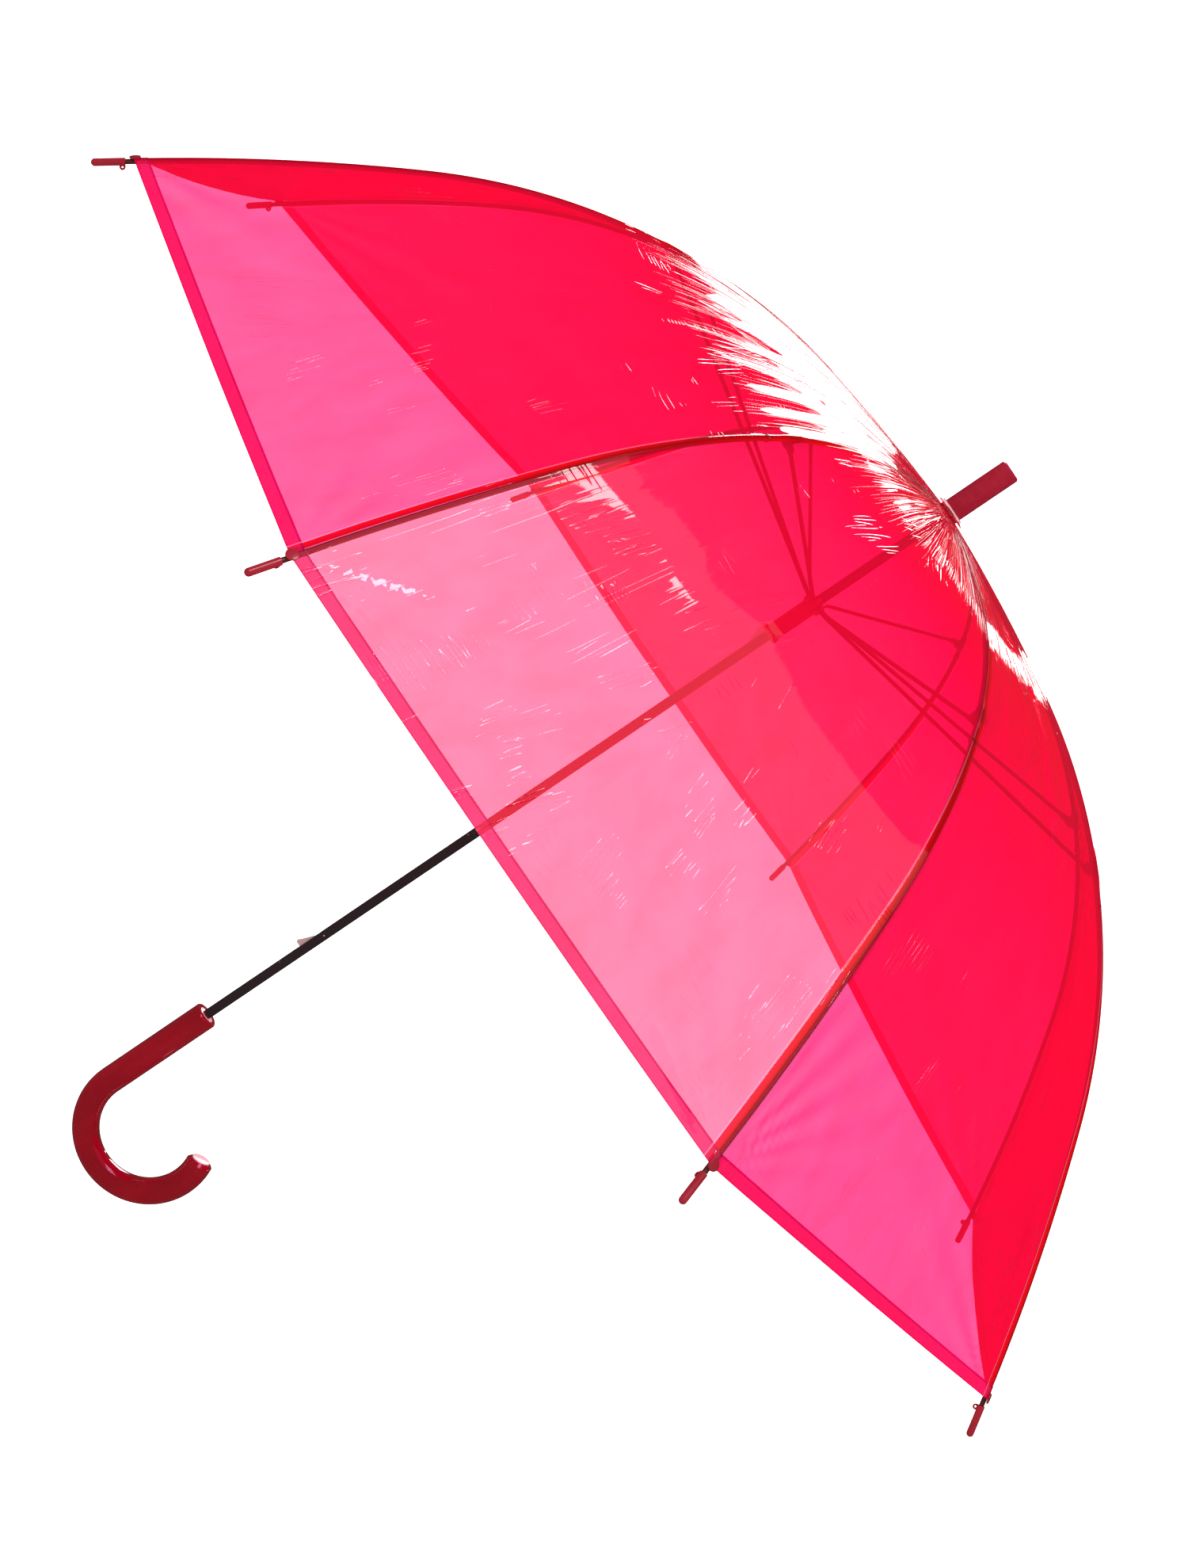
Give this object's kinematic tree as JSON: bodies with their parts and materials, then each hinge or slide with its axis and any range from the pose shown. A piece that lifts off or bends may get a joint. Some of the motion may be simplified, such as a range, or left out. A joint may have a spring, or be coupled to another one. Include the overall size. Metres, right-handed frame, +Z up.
{
  "type": "stick umbrella",
  "caption": "Open stick umbrella with a clear tinted dome canopy on wire ribs and stretchers, a sliding runner, sprung catches, a ferrule and a hook handle.",
  "frame": {"origin": "middle of the straight grip, on the shaft's axis", "axes": "+Z up the shaft towards the ferrule, the hook bends towards +X, +Y completes the right-handed frame"},
  "size_m": [0.97, 0.97, 0.8279],
  "materials": {
    "shaft_steel": "black paint, satin",
    "handle_plastic": "glossy, moulded",
    "ferrule_plastic": "glossy, moulded",
    "notch_plastic": "moulded",
    "washer_plastic": "moulded",
    "tip_plastic": "moulded",
    "ring_steel": "drawn wire",
    "catch_steel": "stamped",
    "rib_steel": "dark paint",
    "film": "clear tinted vinyl film, glossy"
  },
  "bodies": {
    "shaft": {"shaft": "shaft_steel", "handle": "handle_plastic", "ferrule": "ferrule_plastic", "top_notch": "notch_plastic", "notch_ring_wire": "ring_steel", "crown_washer": "washer_plastic", "crown_film": "film", "shaft_pins": "ring_steel"},
    "top_catch": {"top_catch": "catch_steel"},
    "bottom_catch": {"bottom_catch": "catch_steel"},
    "runner": {"runner": "notch_plastic", "runner_ring_wire": "ring_steel"},
    "rib_inner_0": {"rib_inner_0": "rib_steel", "rib_clip_0": "rib_steel", "canopy_panel_0": "film"},
    "rib_outer_0": {"rib_outer_0": "rib_steel", "tip_0": "tip_plastic"},
    "stretcher_0": {"stretcher_0": "rib_steel"},
    "rib_inner_1": {"rib_inner_1": "rib_steel", "rib_clip_1": "rib_steel", "canopy_panel_1": "film"},
    "rib_outer_1": {"rib_outer_1": "rib_steel", "tip_1": "tip_plastic"},
    "stretcher_1": {"stretcher_1": "rib_steel"},
    "rib_inner_2": {"rib_inner_2": "rib_steel", "rib_clip_2": "rib_steel", "canopy_panel_2": "film"},
    "rib_outer_2": {"rib_outer_2": "rib_steel", "tip_2": "tip_plastic"},
    "stretcher_2": {"stretcher_2": "rib_steel"},
    "rib_inner_3": {"rib_inner_3": "rib_steel", "rib_clip_3": "rib_steel", "canopy_panel_3": "film"},
    "rib_outer_3": {"rib_outer_3": "rib_steel", "tip_3": "tip_plastic"},
    "stretcher_3": {"stretcher_3": "rib_steel"},
    "rib_inner_4": {"rib_inner_4": "rib_steel", "rib_clip_4": "rib_steel", "canopy_panel_4": "film"},
    "rib_outer_4": {"rib_outer_4": "rib_steel", "tip_4": "tip_plastic"},
    "stretcher_4": {"stretcher_4": "rib_steel"},
    "rib_inner_5": {"rib_inner_5": "rib_steel", "rib_clip_5": "rib_steel", "canopy_panel_5": "film"},
    "rib_outer_5": {"rib_outer_5": "rib_steel", "tip_5": "tip_plastic"},
    "stretcher_5": {"stretcher_5": "rib_steel"},
    "rib_inner_6": {"rib_inner_6": "rib_steel", "rib_clip_6": "rib_steel", "canopy_panel_6": "film"},
    "rib_outer_6": {"rib_outer_6": "rib_steel", "tip_6": "tip_plastic"},
    "stretcher_6": {"stretcher_6": "rib_steel"},
    "rib_inner_7": {"rib_inner_7": "rib_steel", "rib_clip_7": "rib_steel", "canopy_panel_7": "film"},
    "rib_outer_7": {"rib_outer_7": "rib_steel", "tip_7": "tip_plastic"},
    "stretcher_7": {"stretcher_7": "rib_steel"}
  },
  "joints": [
    {"name": "runner_slide", "type": "slide", "parent": "shaft", "child": "runner", "axis": [0, 0, 1], "range_m": [-0.40631, 0]},
    {"name": "top_catch_press", "type": "hinge", "parent": "shaft", "child": "top_catch", "pos_m": [0, 0, 0.5095], "axis": [0, 1, 0], "range_deg": [0, 14], "stiffness_Nm_per_rad": 0.05, "springref_deg": -11.46},
    {"name": "bottom_catch_press", "type": "hinge", "parent": "shaft", "child": "bottom_catch", "pos_m": [0, 0, 0.15], "axis": [0, -1, 0], "range_deg": [0, 14], "stiffness_Nm_per_rad": 0.05, "springref_deg": -11.46},
    {"name": "rib_fold_0", "type": "hinge", "parent": "shaft", "child": "rib_inner_0", "pos_m": [0.006, 0.00249, 0.676], "axis": [-0.3827, 0.9239, 0], "range_deg": [0, 76.2], "deforming": ["canopy_panel_0"]},
    {"name": "rib_flex_0", "type": "hinge", "parent": "rib_inner_0", "child": "rib_outer_0", "pos_m": [0.26055, 0.10792, 0.61825], "axis": [-0.3827, 0.9239, 0], "range_deg": [-32.2, 0]},
    {"name": "stretcher_fold_0", "type": "hinge", "parent": "runner", "child": "stretcher_0", "pos_m": [0.00554, 0.0023, 0.5685], "axis": [-0.3827, 0.9239, 0], "range_deg": [-74.9, 0]},
    {"name": "rib_fold_1", "type": "hinge", "parent": "shaft", "child": "rib_inner_1", "pos_m": [0.00249, 0.006, 0.676], "axis": [-0.9239, 0.3827, 0], "range_deg": [0, 76.2], "deforming": ["canopy_panel_1"]},
    {"name": "rib_flex_1", "type": "hinge", "parent": "rib_inner_1", "child": "rib_outer_1", "pos_m": [0.10792, 0.26055, 0.61825], "axis": [-0.9239, 0.3827, 0], "range_deg": [-32.2, 0]},
    {"name": "stretcher_fold_1", "type": "hinge", "parent": "runner", "child": "stretcher_1", "pos_m": [0.0023, 0.00554, 0.5685], "axis": [-0.9239, 0.3827, 0], "range_deg": [-74.9, 0]},
    {"name": "rib_fold_2", "type": "hinge", "parent": "shaft", "child": "rib_inner_2", "pos_m": [-0.00249, 0.006, 0.676], "axis": [-0.9239, -0.3827, 0], "range_deg": [0, 76.2], "deforming": ["canopy_panel_2"]},
    {"name": "rib_flex_2", "type": "hinge", "parent": "rib_inner_2", "child": "rib_outer_2", "pos_m": [-0.10792, 0.26055, 0.61825], "axis": [-0.9239, -0.3827, 0], "range_deg": [-32.2, 0]},
    {"name": "stretcher_fold_2", "type": "hinge", "parent": "runner", "child": "stretcher_2", "pos_m": [-0.0023, 0.00554, 0.5685], "axis": [-0.9239, -0.3827, 0], "range_deg": [-74.9, 0]},
    {"name": "rib_fold_3", "type": "hinge", "parent": "shaft", "child": "rib_inner_3", "pos_m": [-0.006, 0.00249, 0.676], "axis": [-0.3827, -0.9239, 0], "range_deg": [0, 76.2], "deforming": ["canopy_panel_3"]},
    {"name": "rib_flex_3", "type": "hinge", "parent": "rib_inner_3", "child": "rib_outer_3", "pos_m": [-0.26055, 0.10792, 0.61825], "axis": [-0.3827, -0.9239, 0], "range_deg": [-32.2, 0]},
    {"name": "stretcher_fold_3", "type": "hinge", "parent": "runner", "child": "stretcher_3", "pos_m": [-0.00554, 0.0023, 0.5685], "axis": [-0.3827, -0.9239, 0], "range_deg": [-74.9, 0]},
    {"name": "rib_fold_4", "type": "hinge", "parent": "shaft", "child": "rib_inner_4", "pos_m": [-0.006, -0.00249, 0.676], "axis": [0.3827, -0.9239, 0], "range_deg": [0, 76.2], "deforming": ["canopy_panel_4"]},
    {"name": "rib_flex_4", "type": "hinge", "parent": "rib_inner_4", "child": "rib_outer_4", "pos_m": [-0.26055, -0.10792, 0.61825], "axis": [0.3827, -0.9239, 0], "range_deg": [-32.2, 0]},
    {"name": "stretcher_fold_4", "type": "hinge", "parent": "runner", "child": "stretcher_4", "pos_m": [-0.00554, -0.0023, 0.5685], "axis": [0.3827, -0.9239, 0], "range_deg": [-74.9, 0]},
    {"name": "rib_fold_5", "type": "hinge", "parent": "shaft", "child": "rib_inner_5", "pos_m": [-0.00249, -0.006, 0.676], "axis": [0.9239, -0.3827, 0], "range_deg": [0, 76.2], "deforming": ["canopy_panel_5"]},
    {"name": "rib_flex_5", "type": "hinge", "parent": "rib_inner_5", "child": "rib_outer_5", "pos_m": [-0.10792, -0.26055, 0.61825], "axis": [0.9239, -0.3827, 0], "range_deg": [-32.2, 0]},
    {"name": "stretcher_fold_5", "type": "hinge", "parent": "runner", "child": "stretcher_5", "pos_m": [-0.0023, -0.00554, 0.5685], "axis": [0.9239, -0.3827, 0], "range_deg": [-74.9, 0]},
    {"name": "rib_fold_6", "type": "hinge", "parent": "shaft", "child": "rib_inner_6", "pos_m": [0.00249, -0.006, 0.676], "axis": [0.9239, 0.3827, 0], "range_deg": [0, 76.2], "deforming": ["canopy_panel_6"]},
    {"name": "rib_flex_6", "type": "hinge", "parent": "rib_inner_6", "child": "rib_outer_6", "pos_m": [0.10792, -0.26055, 0.61825], "axis": [0.9239, 0.3827, 0], "range_deg": [-32.2, 0]},
    {"name": "stretcher_fold_6", "type": "hinge", "parent": "runner", "child": "stretcher_6", "pos_m": [0.0023, -0.00554, 0.5685], "axis": [0.9239, 0.3827, 0], "range_deg": [-74.9, 0]},
    {"name": "rib_fold_7", "type": "hinge", "parent": "shaft", "child": "rib_inner_7", "pos_m": [0.006, -0.00249, 0.676], "axis": [0.3827, 0.9239, 0], "range_deg": [0, 76.2], "deforming": ["canopy_panel_7"]},
    {"name": "rib_flex_7", "type": "hinge", "parent": "rib_inner_7", "child": "rib_outer_7", "pos_m": [0.26055, -0.10792, 0.61825], "axis": [0.3827, 0.9239, 0], "range_deg": [-32.2, 0]},
    {"name": "stretcher_fold_7", "type": "hinge", "parent": "runner", "child": "stretcher_7", "pos_m": [0.00554, -0.0023, 0.5685], "axis": [0.3827, 0.9239, 0], "range_deg": [-74.9, 0]}
  ],
  "couplings": [
    {"joint": "rib_fold_0", "follows": "runner_slide", "rad_per_m": -3.2645},
    {"joint": "rib_flex_0", "follows": "runner_slide", "rad_per_m": 1.3746},
    {"joint": "stretcher_fold_0", "follows": "runner_slide", "rad_per_m": 3.2062},
    {"joint": "rib_fold_1", "follows": "runner_slide", "rad_per_m": -3.2645},
    {"joint": "rib_flex_1", "follows": "runner_slide", "rad_per_m": 1.3746},
    {"joint": "stretcher_fold_1", "follows": "runner_slide", "rad_per_m": 3.2062},
    {"joint": "rib_fold_2", "follows": "runner_slide", "rad_per_m": -3.2645},
    {"joint": "rib_flex_2", "follows": "runner_slide", "rad_per_m": 1.3746},
    {"joint": "stretcher_fold_2", "follows": "runner_slide", "rad_per_m": 3.2062},
    {"joint": "rib_fold_3", "follows": "runner_slide", "rad_per_m": -3.2645},
    {"joint": "rib_flex_3", "follows": "runner_slide", "rad_per_m": 1.3746},
    {"joint": "stretcher_fold_3", "follows": "runner_slide", "rad_per_m": 3.2062},
    {"joint": "rib_fold_4", "follows": "runner_slide", "rad_per_m": -3.2645},
    {"joint": "rib_flex_4", "follows": "runner_slide", "rad_per_m": 1.3746},
    {"joint": "stretcher_fold_4", "follows": "runner_slide", "rad_per_m": 3.2062},
    {"joint": "rib_fold_5", "follows": "runner_slide", "rad_per_m": -3.2645},
    {"joint": "rib_flex_5", "follows": "runner_slide", "rad_per_m": 1.3746},
    {"joint": "stretcher_fold_5", "follows": "runner_slide", "rad_per_m": 3.2062},
    {"joint": "rib_fold_6", "follows": "runner_slide", "rad_per_m": -3.2645},
    {"joint": "rib_flex_6", "follows": "runner_slide", "rad_per_m": 1.3746},
    {"joint": "stretcher_fold_6", "follows": "runner_slide", "rad_per_m": 3.2062},
    {"joint": "rib_fold_7", "follows": "runner_slide", "rad_per_m": -3.2645},
    {"joint": "rib_flex_7", "follows": "runner_slide", "rad_per_m": 1.3746},
    {"joint": "stretcher_fold_7", "follows": "runner_slide", "rad_per_m": 3.2062}
  ]
}
